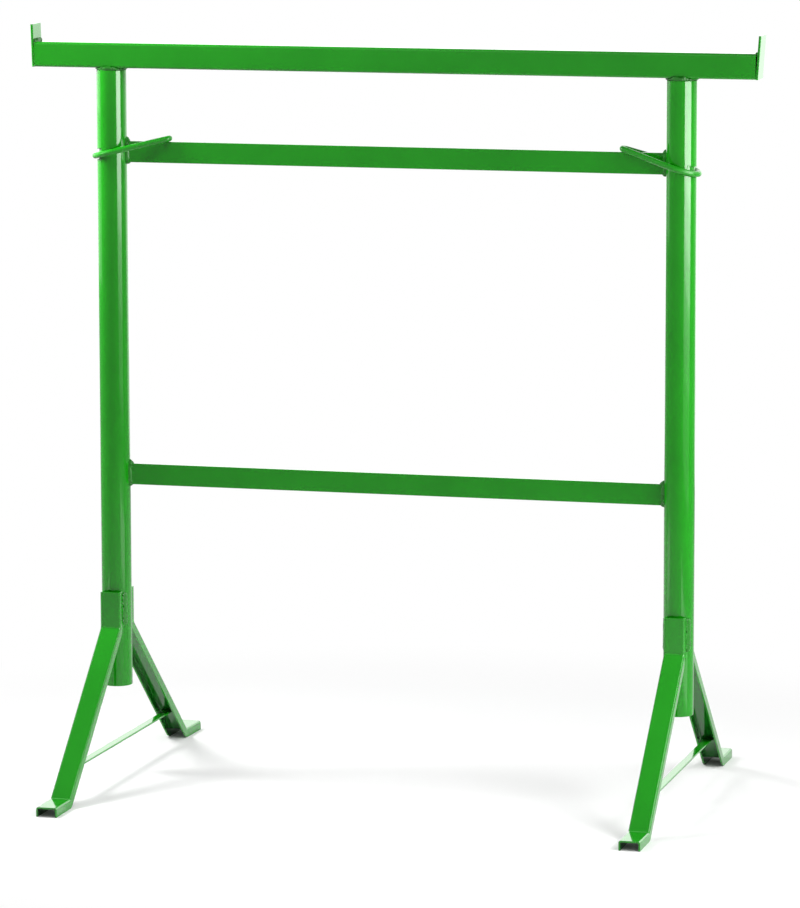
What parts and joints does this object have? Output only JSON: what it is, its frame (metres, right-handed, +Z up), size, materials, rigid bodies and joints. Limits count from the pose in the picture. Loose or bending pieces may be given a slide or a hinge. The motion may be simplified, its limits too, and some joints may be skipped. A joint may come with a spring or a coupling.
{
  "type": "adjustable trestle",
  "caption": "Height-adjustable steel trestle: a top rail on sliding tubes in a post frame with cross rails, splayed channel legs and choke rings that lock the height.",
  "frame": {"origin": "on the floor, under the middle of the trestle", "axes": "+X along the top rail to the right as seen from the front, +Y to the rear, +Z up"},
  "size_m": [1.1872, 0.7105, 1.2159],
  "materials": {
    "frame_enamel": "gloss enamel",
    "upper_enamel": "gloss enamel",
    "ring_enamel": "gloss enamel",
    "weld_enamel": "gloss enamel over rough beads"
  },
  "bodies": {
    "lower_frame": {"outer_tube_left": "frame_enamel", "outer_tube_right": "frame_enamel", "upper_cross_rail": "frame_enamel", "lower_cross_rail": "frame_enamel", "leg_front_left": "frame_enamel", "leg_front_right": "frame_enamel", "leg_rear_left": "frame_enamel", "leg_rear_right": "frame_enamel", "leg_tie_left": "frame_enamel", "leg_tie_right": "frame_enamel", "upper_rail_weld_left": "weld_enamel", "upper_rail_weld_right": "weld_enamel", "lower_rail_weld_left": "weld_enamel", "lower_rail_weld_right": "weld_enamel", "leg_weld_front_left": "weld_enamel", "leg_weld_front_right": "weld_enamel", "leg_weld_rear_left": "weld_enamel", "leg_weld_rear_right": "weld_enamel", "tie_weld_left": "weld_enamel", "tie_weld_right": "weld_enamel"},
    "upper_frame": {"top_rail": "upper_enamel", "end_stop_left": "upper_enamel", "end_stop_right": "upper_enamel", "inner_tube_left": "upper_enamel", "inner_tube_right": "upper_enamel", "top_weld_left": "weld_enamel", "top_weld_right": "weld_enamel", "stop_weld_left": "weld_enamel", "stop_weld_right": "weld_enamel"},
    "choke_ring_left": {"choke_ring_left": "ring_enamel"},
    "choke_ring_right": {"choke_ring_right": "ring_enamel"}
  },
  "joints": [
    {"name": "height_slide", "type": "slide", "parent": "lower_frame", "child": "upper_frame", "axis": [0, 0, 1], "range_m": [0, 0.7]},
    {"name": "choke_ring_left_lift", "type": "hinge", "parent": "lower_frame", "child": "choke_ring_left", "pos_m": [-0.36924, 0, 1.03605], "axis": [0, 1, 0], "range_deg": [-0.3, 2]},
    {"name": "choke_ring_right_lift", "type": "hinge", "parent": "lower_frame", "child": "choke_ring_right", "pos_m": [0.37121, 0, 1.03605], "axis": [0, -1, 0], "range_deg": [-0.3, 2]}
  ]
}
